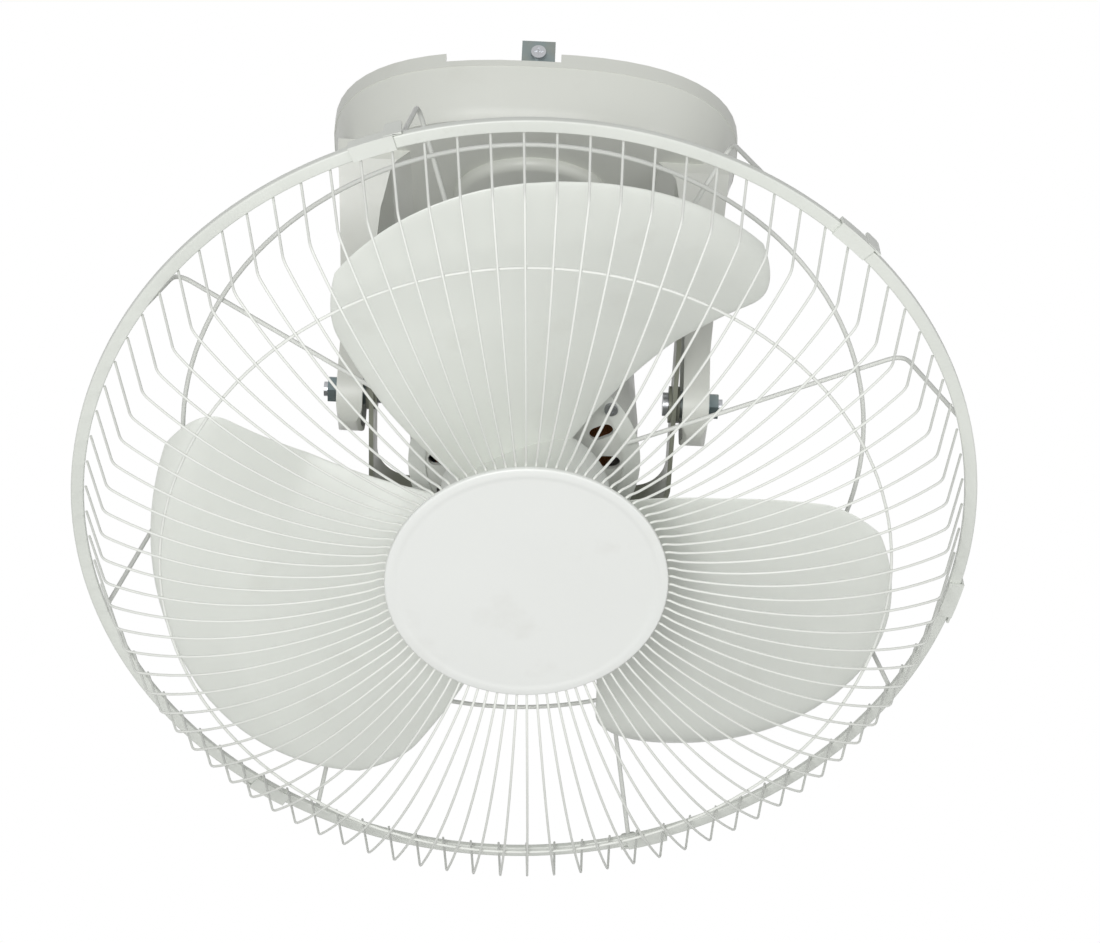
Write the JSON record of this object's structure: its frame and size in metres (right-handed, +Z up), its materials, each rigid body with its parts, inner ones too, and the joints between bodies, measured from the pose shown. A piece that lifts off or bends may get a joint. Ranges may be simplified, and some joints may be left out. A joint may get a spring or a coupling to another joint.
{
  "type": "orbital ceiling fan",
  "caption": "Caged ceiling fan with three broad blades on a tilted head, hung in a gimbal below a round canopy so that the head orbits.",
  "frame": {"origin": "centre of the ceiling face of the mounting plate", "axes": "+Z up out of the ceiling face; the head hangs below and leans towards -Y; +X is right when seen from the front"},
  "size_m": [0.4597, 0.4125, 0.4084],
  "materials": {
    "zinc_plate": "zinc plated",
    "steel_fastener": "bright steel",
    "canopy_plastic": "light grey moulding",
    "terminal_plastic": "plain",
    "gimbal_paint": "grey enamel",
    "bronze_bush": "sintered bronze",
    "motor_paint": "light grey enamel",
    "gear_case": "light grey enamel",
    "stator_steel": "laminated electrical steel",
    "copper": "varnished copper wire",
    "blade_plastic": "semi-gloss moulding",
    "insert_metal": "turned",
    "guard_wire": "off-white powder coat",
    "guard_sheet": "off-white powder coat",
    "cap_plastic": "plain off-white moulding"
  },
  "bodies": {
    "base": {"ceiling_plate": "zinc_plate", "canopy_tab_screws": "steel_fastener", "canopy": "canopy_plastic", "yoke": "zinc_plate", "yoke_studs": "steel_fastener", "yoke_nuts": "zinc_plate", "terminal_block": "terminal_plastic", "capacitor": "terminal_plastic", "ball_seat": "steel_fastener", "ball_seat_screw": "steel_fastener", "pivot_bolts": "steel_fastener", "pivot_nuts": "zinc_plate", "pivot_spacers": "zinc_plate"},
    "gimbal": {"gimbal_frame": "gimbal_paint", "tilt_bushes": "bronze_bush", "swing_pins": "steel_fastener", "swing_washers": "zinc_plate"},
    "head": {"swing_bushes": "bronze_bush", "motor_rear_cover": "motor_paint", "motor_front_cover": "motor_paint", "cover_screws": "steel_fastener", "stator_core": "stator_steel", "stator_windings": "copper", "front_bearing": "steel_fastener", "rear_bearing": "steel_fastener", "orbit_gear_motor": "gear_case", "gear_motor_screws": "steel_fastener", "guard_mount_ring": "guard_sheet", "mount_screws": "steel_fastener", "rear_spokes": "guard_wire", "rear_ring": "guard_wire", "rear_rim_ring": "guard_wire", "rim_band": "guard_sheet", "front_wires_right": "guard_wire", "front_wires_left": "guard_wire", "mid_ring": "guard_wire", "centre_cap": "cap_plastic", "cap_backing": "guard_sheet", "cap_screws": "steel_fastener", "guard_clips": "guard_sheet"},
    "rotor": {"motor_shaft": "steel_fastener", "rotor_core": "stator_steel", "propeller": "blade_plastic", "hub_insert": "insert_metal", "spinner_nut": "blade_plastic"},
    "crank": {"orbit_shaft": "steel_fastener", "orbit_crank": "zinc_plate", "crank_ball": "steel_fastener", "crank_nut": "steel_fastener"}
  },
  "joints": [
    {"name": "tilt_hinge", "type": "hinge", "parent": "base", "child": "gimbal", "pos_m": [0, 0, -0.17], "axis": [1, 0, 0], "range_deg": [0, 60]},
    {"name": "swing_hinge", "type": "hinge", "parent": "gimbal", "child": "head", "pos_m": [0, 0, -0.17], "axis": [0, 0.866, -0.5], "range_deg": [-27.5, 32.5]},
    {"name": "blade_spin", "type": "hinge", "parent": "head", "child": "rotor", "pos_m": [0, 0, -0.17], "axis": [0.0436, -0.4995, -0.8652], "continuous": true},
    {"name": "orbit_crank_turn", "type": "hinge", "parent": "head", "child": "crank", "pos_m": [0, 0, -0.17], "axis": [0.0436, -0.4995, -0.8652], "continuous": true}
  ]
}
